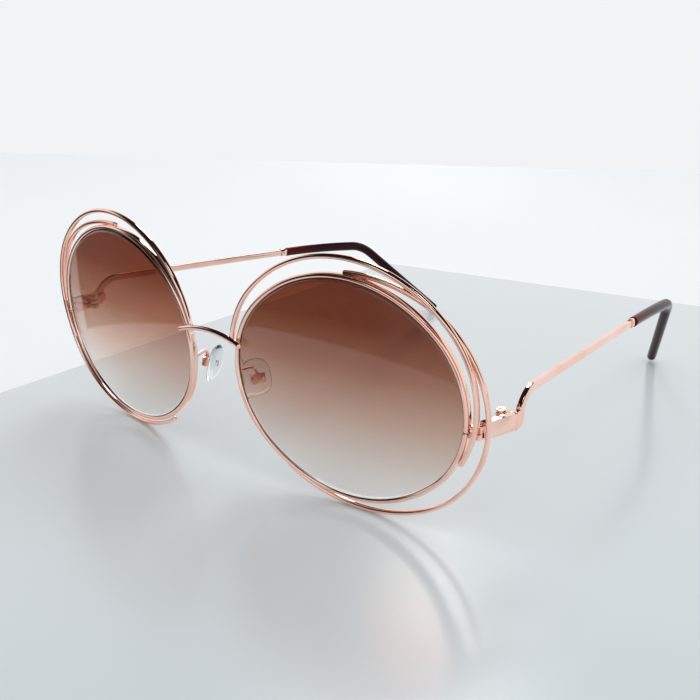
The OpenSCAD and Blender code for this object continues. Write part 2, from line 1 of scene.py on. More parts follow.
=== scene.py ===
"""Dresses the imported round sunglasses: smooth wires, tinted lenses, clear pads, a lit board.

Shapes are worked out in the front's own upright frame, in metres: x to the wearer's left,
y back along the temples, z up, from the middle of the nose at the lenses' centre height.
placed() then leans them on to the table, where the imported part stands.
"""

import json
import math

import bmesh
import bpy
import numpy as np
from bpy.props import FloatProperty, FloatVectorProperty, PointerProperty
from mathutils import Matrix

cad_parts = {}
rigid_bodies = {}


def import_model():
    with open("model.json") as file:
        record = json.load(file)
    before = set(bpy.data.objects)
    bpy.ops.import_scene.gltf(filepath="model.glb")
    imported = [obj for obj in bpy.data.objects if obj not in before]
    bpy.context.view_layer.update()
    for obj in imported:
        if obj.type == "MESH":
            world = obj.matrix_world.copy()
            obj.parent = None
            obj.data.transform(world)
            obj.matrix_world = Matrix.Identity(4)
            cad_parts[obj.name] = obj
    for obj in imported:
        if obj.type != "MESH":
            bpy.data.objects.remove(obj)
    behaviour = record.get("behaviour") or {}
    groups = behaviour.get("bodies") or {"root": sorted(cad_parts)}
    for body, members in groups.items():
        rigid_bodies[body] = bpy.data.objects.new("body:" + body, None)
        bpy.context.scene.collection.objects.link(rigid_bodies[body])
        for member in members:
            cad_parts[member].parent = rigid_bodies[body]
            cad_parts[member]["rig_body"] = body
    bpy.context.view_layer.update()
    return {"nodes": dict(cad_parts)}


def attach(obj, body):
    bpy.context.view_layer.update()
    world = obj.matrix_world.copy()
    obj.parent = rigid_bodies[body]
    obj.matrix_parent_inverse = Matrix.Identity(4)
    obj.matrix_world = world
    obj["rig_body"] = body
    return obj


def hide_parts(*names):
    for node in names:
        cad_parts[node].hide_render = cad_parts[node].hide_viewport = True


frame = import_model()

bl_info = {
    "name": "Round wire sunglasses",
    "version": (1, 0, 0),
    "blender": (4, 5, 0),
    "location": "3D View > Sidebar > Sunglasses",
    "description": "Smooth wires, tinted lenses and a lit board for the round sunglasses",
    "category": "Add Mesh",
}

SIDES = {"left": 1, "right": -1}
MM = 0.001

# Points round a wire's section
AROUND = 28


def size(name, text, millimetres):
    """A length property, given in millimetres and kept in metres."""
    return FloatProperty(
        name=name, description=text, default=millimetres * MM, precision=5, unit="LENGTH"
    )


def turn(name, text, degrees):
    """An angle property, given in degrees and kept in radians."""
    return FloatProperty(
        name=name, description=text, default=math.radians(degrees), unit="ROTATION"
    )


def share(name, text, value):
    """A share from 0 to 1."""
    return FloatProperty(
        name=name, description=text, default=value, min=0, max=1, subtype="FACTOR"
    )


def colour(name, text, value):
    """A colour property, in linear red, green and blue."""
    return FloatVectorProperty(
        name=name, description=text, default=value, size=3, min=0, max=1, subtype="COLOR"
    )


class FrontSizes(bpy.types.PropertyGroup):
    """Sizes of the lenses, rims, halos and bridge"""

    lens_width: size("Lens width", "Across one lens", 58)
    lens_height: size("Lens height", "From the top of a lens to its bottom", 50.5)
    lens_round: share("Lens roundness", "Side radius as a share of the half height", 0.9)
    lens_gap: size("Lens gap", "Between the two lenses", 15.5)
    lens_thickness: size("Lens thickness", "Front to back", 1.6)
    lens_ball: size("Lens ball radius", "Of the ball that a lens is cut from", 170)
    wrap: turn("Wrap", "Turn of each lens back from the nose", 6)
    rim_width: size("Rim width", "Of the rim wire, from the front", 1.25)
    rim_depth: size("Rim depth", "Of the rim wire, front to back", 2)
    groove: size("Groove depth", "Of the groove that holds the lens", 0.45)
    halo_width: size("Halo width", "Of a halo wire, from the front", 1.15)
    halo_depth: size("Halo depth", "Of a halo wire, front to back", 1.4)
    halo_step: size("Halo step", "From the lens plane to a halo's middle", 0.67125)
    bridge_wire: size("Bridge wire", "Diameter of the bridge", 1.3)
    bridge_rise: size("Bridge rise", "Of the arch above its ends", 1.7)
    bridge_height: size("Bridge height", "Of its ends above the lens centres", 5.7)
    bridge_half: size("Bridge half span", "From the middle to an end", 9.85161)
    bridge_front: size("Bridge front", "From the lens centres forward", 4.45178)


class TempleSizes(bpy.types.PropertyGroup):
    """Sizes of a temple and its tip"""

    start_x: size("Start, sideways", "Outer face of the temple's head", 70.9137)
    start_y: size("Start, back", "Front face of the temple's head", 13.5171)
    head_middle: size("Head middle", "Below the lens centres", 3.22083)
    head_height: size("Head height", "Top to bottom", 4.1)
    bar_height: size("Bar height", "Top to bottom", 1.9)
    bar_thickness: size("Bar thickness", "Side to side", 1.2)
    bar_length: size("Bar length", "Of its straight stretch", 66.4)
    toe: turn("Toe", "Turn of the temple inwards", 5.6)
    fall: turn("Fall", "Fall of the bar on its way back", 6.2)
    rise: turn("Rise", "Angle of the rise out of the head", 52)
    rise_length: size("Rise length", "Of the slanted stretch", 1.9)
    rise_bend: size("Rise bend", "Radius above the rise", 7)
    tip_height: size("Tip height", "Of the tip's section", 3.1)
    tip_thickness: size("Tip thickness", "Of the tip's section", 2.9)
    tip_front: size("Tip front", "Length of the gently bent stretch", 32)
    tip_front_bend: turn("Tip front bend", "Through the gentle stretch", 5)
    ear_radius: size("Ear bend radius", "Behind the ear", 15)
    ear_bend: turn("Ear bend", "Through the bend behind the ear", 37.5)
    tip_drop: size("Tip drop", "Length behind the ear", 38)
    tip_roll: turn("Tip roll", "Turn of the drop in towards the head", 23)


class PadSizes(bpy.types.PropertyGroup):
    """Sizes of a nose pad and its tongue"""

    width: size("Pad width", "Across a nose pad", 7.8)
    height: size("Pad height", "From the top of a pad to its bottom", 9)
    thickness: size("Pad thickness", "At the middle of a pad", 1.7)
    splay: turn("Splay", "Turn of a pad's back edge outwards", 22)
    flare: turn("Flare", "Turn of a pad's foot outwards", 14)
    off_screw: size("Pad off screw", "From the screw's axis to the pad's middle layer", 2.13)
    tongue_radius: size("Tongue radius", "Round the screw's axis", 0.7)
    tongue_reach: size("Tongue reach", "From the screw's axis into the pad", 1.7)
    tongue_thickness: size("Tongue thickness", "Along the screw", 0.8)


class StanceSizes(bpy.types.PropertyGroup):
    """How the front stands on the table"""

    lean: turn("Lean", "Of the front on the table", 5.37395)
    back: size("Back", "From the lens centres to the middle of the footprint", 75.1922)
    height: size("Height", "Of the lens centres above the table", 28.2853)


class FinishColours(bpy.types.PropertyGroup):
    """Colours of the glasses and of the ground"""

    metal: colour("Metal", "Polished rose gold", (0.97, 0.70, 0.60))
    metal_deep: colour("Deep metal", "Rose gold in its warmer patches", (0.93, 0.57, 0.46))
    tint_top: colour("Lens top", "Tint at the top of a lens", (0.17, 0.043, 0.023))
    tint_high: colour("Lens, high", "Tint four fifths of the way up", (0.205, 0.055, 0.029))
    tint_middle: colour("Lens middle", "Tint a little above the middle", (0.38, 0.155, 0.095))
    tint_low: colour("Lens, low", "Tint a little below the middle", (0.62, 0.40, 0.305))
    tint_foot: colour("Lens foot", "Tint at the bottom of a lens", (0.97, 0.95, 0.92))
    tip_front: colour("Tip front", "Plastic of the tips near the collar", (0.14, 0.008, 0.004))
    tip_end: colour("Tip end", "Plastic of the tips at their ends", (0.022, 0.003, 0.008))
    board: colour("Board", "Glossy board under the glasses", (0.62, 0.665, 0.68))
    floor: colour("Floor", "White floor round the board", (0.86, 0.88, 0.89))


def placed(points):
    """Front frame to row frame: a turn about x by the lean, then a shift back and up."""
    s = bpy.context.scene.sunglasses_stance
    c, d = math.cos(s.lean), math.sin(s.lean)
    x, y, z = np.moveaxis(np.asarray(points, float), -1, 0)
    return np.stack([x, y * c - z * d - s.back, y * d + z * c + s.height], -1)


def turned(points, angle, axis):
    """Points turned about the x, y or z axis, given as 0, 1 or 2, by the right-hand rule."""
    c, d = math.cos(angle), math.sin(angle)
    out = np.array(points, float)
    i, j = (axis + 1) % 3, (axis + 2) % 3
    out[..., i] = c * points[..., i] - d * points[..., j]
    out[..., j] = d * points[..., i] + c * points[..., j]
    return out


def unit(vector):
    """A vector's direction, as a vector of length 1."""
    return vector / np.linalg.norm(vector)


def in_lens_plane(points, side):
    """Lens plane to front frame: (out from the nose, up, forwards) turned back by the wrap."""
    f = bpy.context.scene.sunglasses_front
    out, up, ahead = np.moveaxis(points, -1, 0)
    middle = (f.lens_width + f.lens_gap) / 2
    c, s = math.cos(f.wrap), math.sin(f.wrap)
    return np.stack([side * (middle + out * c + ahead * s), out * s - ahead * c, up], -1)


def oval_arcs(oval):
    """Side radius, end radius and the angle at which a four-arc oval's arcs meet."""
    a, b = oval[2], oval[3]
    side = b * oval[4]
    end = (a * a + b * b - 2 * a * side) / (2 * (b - side))
    return side, end, math.atan2(end - b, a - side)


def oval_points(oval, angle):
    """Points of a four-arc oval where its outward normal stands at an angle: the centre of
    the arc that the angle falls in, plus that arc's radius along the normal."""
    side, end, corner = oval_arcs(oval)
    c, s = np.cos(angle), np.sin(angle)
    on_side = np.abs(s) < math.sin(corner)
    radius = np.where(on_side, side, end)
    x = oval[0] + np.where(on_side, np.sign(c) * (oval[2] - side), 0) + radius * c
    y = oval[1] + np.where(on_side, 0, np.sign(s) * (oval[3] - end)) + radius * s
    return np.stack([x, y], -1)


def widened(oval, extra):
    """An oval whose outline lies a distance outside another's, with the same arc centres."""
    side = oval_arcs(oval)[0]
    b = oval[3] + extra
    return (oval[0], oval[1], oval[2] + extra, b, (side + extra) / b)


def lens_oval():
    """The lens's oval: middle x and y, half width, half height and roundness."""
    f = bpy.context.scene.sunglasses_front
    return (0, 0, f.lens_width / 2, f.lens_height / 2, f.lens_round)


def rim_oval():
    """The mid-line of the rim wire, whose groove takes in the lens's edge."""
    f = bpy.context.scene.sunglasses_front
    return widened(lens_oval(), f.rim_width / 2 - f.groove)


def halo_oval(wire):
    """A halo's mid-line, by its reach past the rim's mid-line on four sides."""
    rim = rim_oval()
    nose, top, temple, base = (millimetres * MM for millimetres in wire["reach"])
    return (
        (temple - nose) / 2,
        (top - base) / 2,
        rim[2] + (temple + nose) / 2,
        rim[3] + (top + base) / 2,
        wire["roundness"],
    )


def added(name, data):
    """An object that shows a mesh, a lamp or a camera, linked to the scene."""
    thing = bpy.data.objects.new(name, data)
    bpy.context.scene.collection.objects.link(thing)
    return thing


def posed(axes, place):
    """A matrix whose columns are three axes and a place."""
    rows = np.column_stack([*axes, place]).tolist()
    return Matrix([*rows, [0, 0, 0, 1]])


def inside_out(vertices, faces):
    """Whether a closed mesh of triangles and quads points inwards: the signed volumes of
    the corners' tetrahedra with the origin then add up to less than 0."""
    halves = [f[:3] for f in faces] + [[f[0], f[2], f[3]] for f in faces if len(f) > 3]
    a, b, c = np.moveaxis(vertices[np.array(halves)], 1, 0)
    return np.einsum("ij,ij->", a, np.cross(b, c)) < 0


def new_piece(name, vertices, faces, body, node=None):
    """A smooth mesh in the row frame with its normals outwards, riding on a body."""
    if inside_out(vertices, faces):
        faces = [f[::-1] for f in faces]
    mesh = bpy.data.meshes.new(name)
    mesh.from_pydata(vertices.tolist(), [], faces)
    mesh.validate()
    mesh.polygons.foreach_set("use_smooth", [True] * len(mesh.polygons))
    mesh.update()
    piece = added(name, mesh)
    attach(piece, body)
    if node:
        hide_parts(node)
    return piece


def grid_faces(rows, around):
    """Quads between each ring of a grid and the next, closed round each ring."""
    i, j = np.meshgrid(np.arange(rows - 1), np.arange(around), indexing="ij")
    k = (j + 1) % around
    quads = np.stack(
        [i * around + j, i * around + k, (i + 1) * around + k, (i + 1) * around + j], -1
    )
    return quads.reshape(-1, 4).tolist()


def closed_grid(grid, first_pole, last_pole):
    """Vertices and faces of a grid of rings, closed by a pole beyond each end."""
    rows, around = grid.shape[:2]
    vertices = np.concatenate([grid.reshape(-1, 3), [first_pole, last_pole]])
    faces = grid_faces(rows, around)
    n, j = rows * around, np.arange(around)
    k = (j + 1) % around
    faces += np.stack([np.full(around, n), k, j], -1).tolist()
    last = (rows - 1) * around
    faces += np.stack([np.full(around, n + 1), last + j, last + k], -1).tolist()
    return vertices, faces


def stadium(width, depth, count=AROUND):
    """A flat oval section: half circles of the short side, pulled apart along the long one."""
    t = np.arange(count) / count * 2 * math.pi
    r = min(width, depth) / 2
    x = r * np.cos(t) + np.sign(np.round(np.cos(t), 9)) * max(width - depth, 0) / 2
    y = r * np.sin(t) + np.sign(np.round(np.sin(t), 9)) * max(depth - width, 0) / 2
    return np.stack([x, y], -1)


def swept(middle, across, over, section, domes=(1, 1)):
    """A section carried along a path. Each end closes in a dome: rings that shrink as the
    cosine of an angle while they move out along the path as its sine."""
    step = np.gradient(middle, axis=0)
    along = step / np.linalg.norm(step, axis=1, keepdims=True)
    section = np.broadcast_to(section, (len(middle), *section.shape[-2:]))
    rings = (
        middle[:, None]
        + section[..., :1] * across[:, None]
        + section[..., 1:] * over[:, None]
    )
    turns = np.radians([15, 30, 45, 60, 75, 86])
    parts, poles = [], []
    for end, way, dome in ((0, -1, domes[0]), (-1, 1, domes[1])):
        reach = np.abs(section[end]).max(0).min() * dome
        out = way * along[end] * reach
        ring = rings[end] - middle[end]
        cap = (
            middle[end]
            + ring[None] * np.cos(turns)[:, None, None]
            + out * np.sin(turns)[:, None, None]
        )
        parts.append(cap[::-1] if way < 0 else cap)
        poles.append(middle[end] + out)
    grid = np.concatenate([parts[0], rings, parts[1]])
    return closed_grid(grid, *poles)


def carried_round(oval, angle, ahead, section, side, dome):
    """A section carried round an oval, at a step ahead of the lens plane: the section's
    first axis is the oval's outward normal, at the angle given, and its second points
    straight ahead."""
    flat = oval_points(oval, angle)
    middle = np.concatenate([flat, np.full((len(flat), 1), ahead)], 1)
    normal = np.stack([np.cos(angle), np.sin(angle), np.zeros_like(angle)], -1)
    base = in_lens_plane(np.zeros((1, 3)), side)
    across = in_lens_plane(normal, side) - base
    over = in_lens_plane(np.array([[0, 0, 1.0]]), side) - base
    over = np.broadcast_to(over, across.shape)
    return swept(in_lens_plane(middle, side), across, over, section, (dome, dome))


def tube(path, radius, dome=1):
    """A round wire of constant or varying radius along a path in space, its section set by
    a guide direction that the path never follows."""
    step = np.gradient(path, axis=0)
    along = step / np.linalg.norm(step, axis=1, keepdims=True)
    guide = np.array([0.3, 0.2, 0.93])
    across = np.cross(along, guide)
    across /= np.linalg.norm(across, axis=1, keepdims=True)
    over = np.cross(along, across)
    t = np.arange(AROUND) / AROUND * 2 * math.pi
    circle = np.stack([np.cos(t), np.sin(t)], -1)
    radius = np.broadcast_to(radius, len(path))
    return swept(path, across, over, circle[None] * radius[:, None, None], (dome, dome))


def track(steps, fine):
    """A path of straights (length, 0) and bends (radius, angle) from the origin along x,
    each bend turning it down, with the normal on its upper side. Its points lie about the
    fine distance apart."""
    points, ups = [], []
    at, fall = np.zeros(2), 0.0
    for length, angle in steps:
        if angle == 0:
            t = np.linspace(0, length, max(3, int(length / fine)))
            heading = np.array([math.cos(fall), -math.sin(fall)])
            part = at + t[:, None] * heading
            up = np.broadcast_to([math.sin(fall), math.cos(fall)], part.shape)
        else:
            t = fall + np.linspace(0, angle, max(8, int(length * angle / fine)))
            up = np.stack([np.sin(t), np.cos(t)], -1)
            centre = at - length * np.array([math.sin(fall), math.cos(fall)])
            part = centre + length * up
            fall += angle
        keep = slice(1, None) if points else slice(None)
        points.append(part[keep])
        ups.append(up[keep])
        at = part[-1]
    return np.concatenate(points), np.concatenate(ups)


def in_space(flat):
    """Points in a plane, given a third coordinate of 0."""
    return np.concatenate([flat, np.zeros((len(flat), 1))], 1)


def softened(node, width):
    """A copy of a CAD node whose edges are rounded: the loose triangles are merged, flat
    faces are joined, and a bevel of the width goes round every edge over 30 degrees."""
    name = node + ("_case" if node.startswith("pad_box") else "_part")
    mesh = frame["nodes"][node].data.copy()
    mesh.name = name
    shape = bmesh.new()
    shape.from_mesh(mesh)
    bmesh.ops.remove_doubles(shape, verts=shape.verts, dist=0.002 * MM)
    bmesh.ops.dissolve_limit(
        shape, angle_limit=math.radians(1), verts=shape.verts, edges=shape.edges
    )
    shape.to_mesh(mesh)
    shape.free()
    mesh.materials.clear()
    mesh.polygons.foreach_set("use_smooth", [True] * len(mesh.polygons))
    piece = added(name, mesh)
    bevel = piece.modifiers.new("Rounded edges", "BEVEL")
    bevel.width = width
    bevel.segments = 3
    bevel.limit_method = "ANGLE"
    bevel.angle_limit = math.radians(30)
    bevel.harden_normals = True
    bevel.use_clamp_overlap = True
    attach(piece, frame["nodes"][node]["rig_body"])
    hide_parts(node)
    return finish(piece, "metal")


class Value:
    """A shader socket that holds a number, so that maths on it is written as Python."""

    def __init__(self, shader, socket):
        self.shader, self.socket = shader, socket

    def _maths(self, kind, other, turned_round=False):
        first, second = (other, self) if turned_round else (self, other)
        node = self.shader.node("ShaderNodeMath", {0: first, 1: second}, operation=kind)
        return Value(self.shader, node.outputs[0])

    def __add__(self, other):
        return self._maths("ADD", other)

    def __sub__(self, other):
        return self._maths("SUBTRACT", other)

    def __mul__(self, other):
        return self._maths("MULTIPLY", other)

    def __rsub__(self, other):
        return self._maths("SUBTRACT", other, True)

    __radd__, __rmul__ = __add__, __mul__


class Shader:
    """A material's or a world's nodes, round the one shader that it starts with."""

    def __init__(self, owner, **constants):
        self.owner = bpy.data.materials.new(owner) if isinstance(owner, str) else owner
        self.owner.use_nodes = True
        self.tree = self.owner.node_tree
        kinds = ("BSDF_PRINCIPLED", "BACKGROUND")
        self.surface = next(n for n in self.tree.nodes if n.type in kinds)
        self.give(**constants)

    def feed(self, socket, value):
        """Links a socket to a node's output, or sets the constant on it."""
        if isinstance(value, Value):
            value = value.socket
        if isinstance(value, bpy.types.NodeSocket):
            self.tree.links.new(value, socket)
        else:
            socket.default_value = value

    def give(self, **sockets):
        """Feeds the shader's own sockets, named with _ for a space."""
        for key, value in sockets.items():
            self.feed(self.surface.inputs[key.replace("_", " ")], value)
        return self.owner

    def node(self, kind, inputs=None, stops=None, **settings):
        """A node of a kind: its settings and a ramp's stops first, then its inputs."""
        made = self.tree.nodes.new(kind)
        for key, value in settings.items():
            setattr(made, key, value)
        if stops:
            ramp = made.color_ramp
            while len(ramp.elements) < len(stops):
                ramp.elements.new(0.5)
            for element, (place, tone) in zip(ramp.elements, stops, strict=True):
                element.position = place
                element.color = (*tone, 1)
        for key, value in (inputs or {}).items():
            self.feed(made.inputs[key], value)
        return made

    def place(self):
        """The Object coordinates, which are the row frame's."""
        return self.node("ShaderNodeTexCoord").outputs["Object"]

    def part_of_place(self, axis):
        """One Object coordinate: X, Y or Z."""
        apart = self.node("ShaderNodeSeparateXYZ", {0: self.place()})
        return Value(self, apart.outputs[axis])

    def noise(self, scale, detail, stretch=(1, 1, 1)):
        """Noise from 0 to 1, its scale in patches a metre, drawn out along an axis where
        the stretch is below 1."""
        spot = self.node("ShaderNodeMapping", {"Vector": self.place(), "Scale": stretch})
        made = self.node(
            "ShaderNodeTexNoise", {"Vector": spot.outputs[0], "Scale": scale, "Detail": detail}
        )
        return Value(self, made.outputs["Fac"])

    def ramp(self, value, *stops):
        """Colours at stops along a value from 0 to 1, blended between them."""
        return self.node("ShaderNodeValToRGB", {"Fac": value}, stops).outputs["Color"]

    def rising(self, value, low, high):
        """0 below the low value and 1 above the high one, smooth between them."""
        made = self.node(
            "ShaderNodeMapRange", {0: value, 1: low, 2: high}, interpolation_type="SMOOTHSTEP"
        )
        return Value(self, made.outputs[0])

    def vector(self, kind, *inputs):
        """A Vector Math node of an operation."""
        return self.node("ShaderNodeVectorMath", dict(enumerate(inputs)), operation=kind)

    def along(self, way, axis):
        """How far a vector goes along an axis of length 1."""
        return Value(self, self.vector("DOT_PRODUCT", way, axis).outputs["Value"])

    def mirrored(self):
        """1 where a ray comes from a mirror or a gloss, not through a lens, otherwise 0."""
        path = self.node("ShaderNodeLightPath").outputs
        return Value(self, path["Is Glossy Ray"]) * (1 - Value(self, path["Is Transmission Ray"]))

    def mixed(self, share_of_second, first, second):
        """Two colours, mixed by a share."""
        inputs = {"Factor": share_of_second, 6: first, 7: second}
        return self.node("ShaderNodeMix", inputs, data_type="RGBA").outputs[2]

    def height(self):
        """Height above the lens centres along the leaned front, in metres."""
        s = bpy.context.scene.sunglasses_stance
        y = self.part_of_place("Y") + s.back
        z = self.part_of_place("Z") - s.height
        return z * math.cos(s.lean) - y * math.sin(s.lean)

    def bumped(self, value, strength, distance):
        """Feeds the shader's normal with a bump of a value, its full height in metres."""
        inputs = {"Height": value, "Strength": strength, "Distance": distance}
        self.give(Normal=self.node("ShaderNodeBump", inputs).outputs[0])


def rose_gold(name):
    """Polished plating: two close tones in slow patches, and faint polishing marks."""
    c = bpy.context.scene.sunglasses_colours
    s = Shader(name, Metallic=1.0)
    patches = s.noise(scale=90, detail=2)
    tone = s.ramp(patches, (0.35, c.metal_deep), (0.65, c.metal))
    marks = s.noise(scale=900, detail=4)
    s.bumped(marks, 0.03, 0.05 * MM)
    return s.give(Base_Color=tone, Roughness=patches * 0.03 + marks * 0.03 + 0.03)


def worn_gold(name):
    """The same plating on the small screws, a little worn in their slots."""
    c = bpy.context.scene.sunglasses_colours
    s = Shader(name, Metallic=1.0)
    wear = s.noise(scale=1500, detail=3)
    tone = s.ramp(wear, (0.3, c.metal_deep), (0.7, c.metal))
    s.bumped(wear, 0.05, 0.05 * MM)
    return s.give(Base_Color=tone, Roughness=wear * 0.15 + 0.15)


def lens_tint(name):
    """Brown gradient tint, dark at the top and nearly clear at the foot of the lens."""
    c = bpy.context.scene.sunglasses_colours
    f = bpy.context.scene.sunglasses_front
    s = Shader(name, IOR=1.5, Roughness=0.0, Specular_IOR_Level=0.3, Transmission_Weight=1.0)
    drift = s.noise(scale=60, detail=1) * 0.02
    middle = 0.49
    share_up = s.height() * (1 / f.lens_height) + middle + drift
    tone = s.ramp(
        share_up,
        (0.02, c.tint_foot),
        (0.42, c.tint_low),
        (0.62, c.tint_middle),
        (0.82, c.tint_high),
        (1.0, c.tint_top),
    )
    return s.give(Base_Color=tone)


def clear_silicone(name):
    """Soft clear silicone with a faint haze."""
    s = Shader(name, IOR=1.41, Transmission_Weight=1.0)
    haze = s.noise(scale=400, detail=2)
    tone = s.ramp(haze, (0.3, (0.90, 0.93, 0.94)), (0.7, (0.97, 0.98, 0.98)))
    s.bumped(haze, 0.05, 0.1 * MM)
    return s.give(Base_Color=tone, Roughness=haze * 0.06 + 0.03)


def tip_plastic(name):
    """Dark glossy acetate, redder near the collar, with slow streaks along the tip."""
    c = bpy.context.scene.sunglasses_colours
    s = Shader(name, IOR=1.45, Specular_IOR_Level=0.12)
    back = s.part_of_place("Y")
    streaks = s.noise(scale=220, detail=3, stretch=(1, 0.12, 0.3))
    per_metre, start = 28, 0.25
    along = back * per_metre + streaks * 0.3 - start
    tone = s.ramp(along, (0.0, c.tip_front), (0.7, c.tip_end))
    grain = s.noise(scale=1200, detail=2)
    s.bumped(grain, 0.02, 0.05 * MM)
    return s.give(Base_Color=tone, Roughness=streaks * 0.08 + 0.1)


MATERIALS = {
    "metal": ("rose_gold_polish", rose_gold),
    "screw": ("rose_gold_screw", worn_gold),
    "lens": ("brown_gradient_lens", lens_tint),
    "silicone": ("clear_silicone", clear_silicone),
    "tip": ("aubergine_acetate", tip_plastic),
}


def finish(piece, key):
    """Gives a piece one of the materials, made on its first use."""
    name, make = MATERIALS[key]
    piece.data.materials.clear()
    piece.data.materials.append(bpy.data.materials.get(name) or make(name))
    return piece


# Reach in millimetres past the rim's mid-line at the nose, top, temple and base, roundness,
# first angle in degrees, and 1 in front of the lens plane or -1 behind it
HALOS = {
    "upper": {"reach": (1.1, 4.3, 2.3, -0.6), "roundness": 0.9, "start": -30, "side": 1},
    "lower": {"reach": (-1.2, 0.8, 4.3, 2.5), "roundness": 0.96, "start": -124, "side": -1},
}
LOWER_HALO_STOP = 93


def halo(side_name, kind):
    """One halo wire: its section carried along its oval between two normal angles, in
    front of the lens plane or behind it. The upper one stops at the bridge's end."""
    f = bpy.context.scene.sunglasses_front
    wire = HALOS[kind]
    oval = halo_oval(wire)
    stop = LOWER_HALO_STOP
    if kind == "upper":
        above = (f.bridge_height - oval[1]) / oval_arcs(oval)[0]
        stop = 180 - math.degrees(math.asin(above))
    angle = np.radians(np.linspace(wire["start"], stop, 300))
    section = stadium(f.halo_width, f.halo_depth)
    ahead = wire["side"] * f.halo_step
    points, faces = carried_round(oval, angle, ahead, section, SIDES[side_name], dome=0.9)
    node = kind + "_halo_" + side_name
    return finish(new_piece(node + "_wire", placed(points), faces, "front", node), "metal")


def rim(side_name):
    """The grooved rim: a rounded section with a notch towards the lens, carried round the
    lens's oval from one side of the slit to the other."""
    f = bpy.context.scene.sunglasses_front
    oval = rim_oval()
    side_radius = oval_arcs(oval)[0]
    slit_height, slit_half = -2.6 * MM, 0.1 * MM
    slit, gap = math.asin(slit_height / side_radius), slit_half / side_radius
    angle = np.linspace(slit + gap, 2 * math.pi + slit - gap, 420)
    section = stadium(f.rim_width, f.rim_depth, 48)
    section[np.argmin(section[:, 0]), 0] += f.groove
    points, faces = carried_round(oval, angle, 0, section, SIDES[side_name], dome=0.05)
    node = "rim_" + side_name
    return finish(new_piece(node + "_wire", placed(points), faces, "front", node), "metal")


def lens(side_name):
    """A lens: rings of its oval's shape that shrink to the middle on both faces, each at its
    height on the ball, joined at the edge by a bevel that sits in the rim's groove."""
    f = bpy.context.scene.sunglasses_front
    play = 0.04 * MM
    edge = widened(lens_oval(), -f.groove - play)
    sag = edge[2] * edge[3] / (2 * f.lens_ball)
    angle = np.arange(240) / 240 * 2 * math.pi
    outline = oval_points(edge, angle)
    normal = np.stack([np.cos(angle), np.sin(angle)], -1)
    top = sag + f.lens_thickness / 2

    def face(shares, radius):
        """Rings at shares of the outline, each point at its height on a ball."""
        flat = shares[:, None, None] * outline
        square = (flat**2).sum(-1)
        ahead = top - f.lens_ball + np.sqrt(radius**2 - square)
        return np.concatenate([flat, ahead[..., None]], -1)

    def band(out, ahead):
        """One ring, a distance outside the outline, at a step ahead of the lens plane."""
        flat = outline + out * normal
        return np.concatenate([flat, np.full((len(flat), 1), ahead)], -1)[None]

    shares = np.linspace(0.02, 1, 40)
    front = face(shares, f.lens_ball)
    back = face(shares[::-1], f.lens_ball - f.lens_thickness)
    lip_half, lip = 0.4 * MM, f.groove - 0.03 * MM
    grid = np.concatenate([front, band(0, lip_half), band(lip, 0), band(0, -lip_half), back])
    poles = np.array([[0, 0, top], [0, 0, top - f.lens_thickness]])
    vertices, faces = closed_grid(grid, *poles)
    vertices = placed(in_lens_plane(vertices, SIDES[side_name]))
    node = "lens_" + side_name
    return finish(new_piece(node + "_glass", vertices, faces, "front", node), "lens")


def bridge():
    """The bridge: a round wire along one arch, with a bead of solder round each end."""
    f = bpy.context.scene.sunglasses_front
    r = (f.bridge_half**2 + f.bridge_rise**2) / (2 * f.bridge_rise)
    reach = math.asin(f.bridge_half / r)
    t = np.linspace(-reach, reach, 120)
    centre = f.bridge_height + f.bridge_rise - r
    path = np.stack(
        [r * np.sin(t), np.full_like(t, -f.bridge_front), centre + r * np.cos(t)], -1
    )
    bead, bead_share = 0.1, 0.06
    from_end = (1 - np.abs(t) / reach) / bead_share
    swell = 1 + bead * np.exp(-(from_end**2))
    points, faces = tube(path, f.bridge_wire / 2 * swell)
    return finish(new_piece("bridge_wire", placed(points), faces, "front", "bridge"), "metal")


def in_temple_plane(points, side):
    """Temple plane (back, up, out) to front frame: turned in by the toe, at the head."""
    t = bpy.context.scene.sunglasses_temple
    back, up, out = np.moveaxis(points, -1, 0)
    c, d = math.cos(t.toe), math.sin(t.toe)
    x = t.start_x - back * d + out * c
    return np.stack([side * x, t.start_y + back * c + out * d, up], -1)


def bar_outline():
    """Upper and lower edges of a temple, along the head, up the rise, over its bend and
    down the straight bar, and the last point of its mid-line."""
    t = bpy.context.scene.sunglasses_temple
    middle = -t.head_middle
    high, low = middle + t.head_height / 2, middle - t.head_height / 2
    rise_start = np.array([0.75 * t.bar_height, middle + 0.12 * t.head_height])
    head_back, head_round = 0.85 * t.head_height, 0.3 * t.head_height
    steps = [(t.rise_length, 0), (t.rise_bend, t.rise + t.fall), (t.bar_length, 0)]
    points, ups = (turned(in_space(flat), t.rise, 2)[:, :2] for flat in track(steps, 0.5 * MM))
    points = points + rise_start
    upper = points + ups * t.bar_height / 2
    lower = points - ups * t.bar_height / 2
    upper = upper[np.argmax(upper[:, 1] > high) :]
    along_top = np.stack([np.linspace(0, upper[0, 0], 14), np.full(14, high)], -1)
    upper = np.concatenate([along_top[:-1], upper])
    bend = np.linspace(-math.pi / 2, 0, 10)
    bend = head_round * np.stack([np.cos(bend), 1 + np.sin(bend)], -1)
    corner = np.array([head_back - head_round, low]) + bend
    foot = np.stack([np.linspace(0, corner[0, 0], 10), np.full(10, low)], -1)
    lower = np.concatenate([foot[:-1], corner, lower[lower[:, 0] > head_back]])
    return upper, lower, points[-1]


def evened(line, shares):
    """A line's points at the given shares of its length."""
    gone = np.concatenate([[0], np.cumsum(np.linalg.norm(np.diff(line, axis=0), axis=1))])
    return np.stack([np.interp(shares * gone[-1], gone, line[:, i]) for i in (0, 1)], -1)


